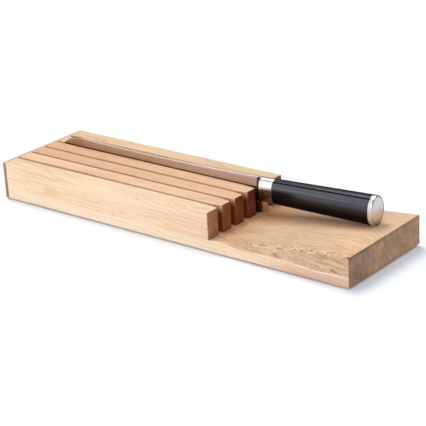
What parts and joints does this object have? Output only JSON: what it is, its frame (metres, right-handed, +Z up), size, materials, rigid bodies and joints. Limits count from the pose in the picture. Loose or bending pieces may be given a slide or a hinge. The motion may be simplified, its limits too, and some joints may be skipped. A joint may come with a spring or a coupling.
{
  "type": "knife block",
  "caption": "Low wooden knife tray with parallel slots and a ramp under the handles, holding a slicing knife with a black grip.",
  "frame": {"origin": "on the resting surface under the pads, at the middle of the tray's length and width", "axes": "+X along the tray from the slots' blind ends to the ramp's outer end, +Y from the front side to the rear, +Z up"},
  "size_m": [0.382, 0.105, 0.0531],
  "materials": {
    "plank_wood": "oiled light oak, long grain along the tray, brown end grain",
    "rail_wood": "oiled light oak, pale straight grain",
    "divider_wood": "oiled light oak, warmer strips",
    "strip_wood": "oiled light oak, cross grain",
    "pad_rubber": "matte grey",
    "blade_steel": "finely ground",
    "polished_steel": "mirror polish",
    "grip_plastic": "black, smooth gloss",
    "cap_steel": "polished rim, satin disc"
  },
  "bodies": {
    "tray": {"base_board": "plank_wood", "front_rail": "rail_wood", "divider_1": "divider_wood", "divider_2": "divider_wood", "divider_3": "divider_wood", "divider_4": "divider_wood", "back_rail": "rail_wood", "end_strip": "strip_wood", "non_slip_pads": "pad_rubber"},
    "knife": {"knife_blade": "blade_steel", "knife_bolster": "polished_steel", "knife_handle": "grip_plastic", "knife_end_cap": "cap_steel"}
  },
  "joints": [
    {"name": "knife_lift", "type": "slide", "parent": "tray", "child": "knife", "axis": [0, 0, 1], "range_m": [0, 0.06]}
  ]
}
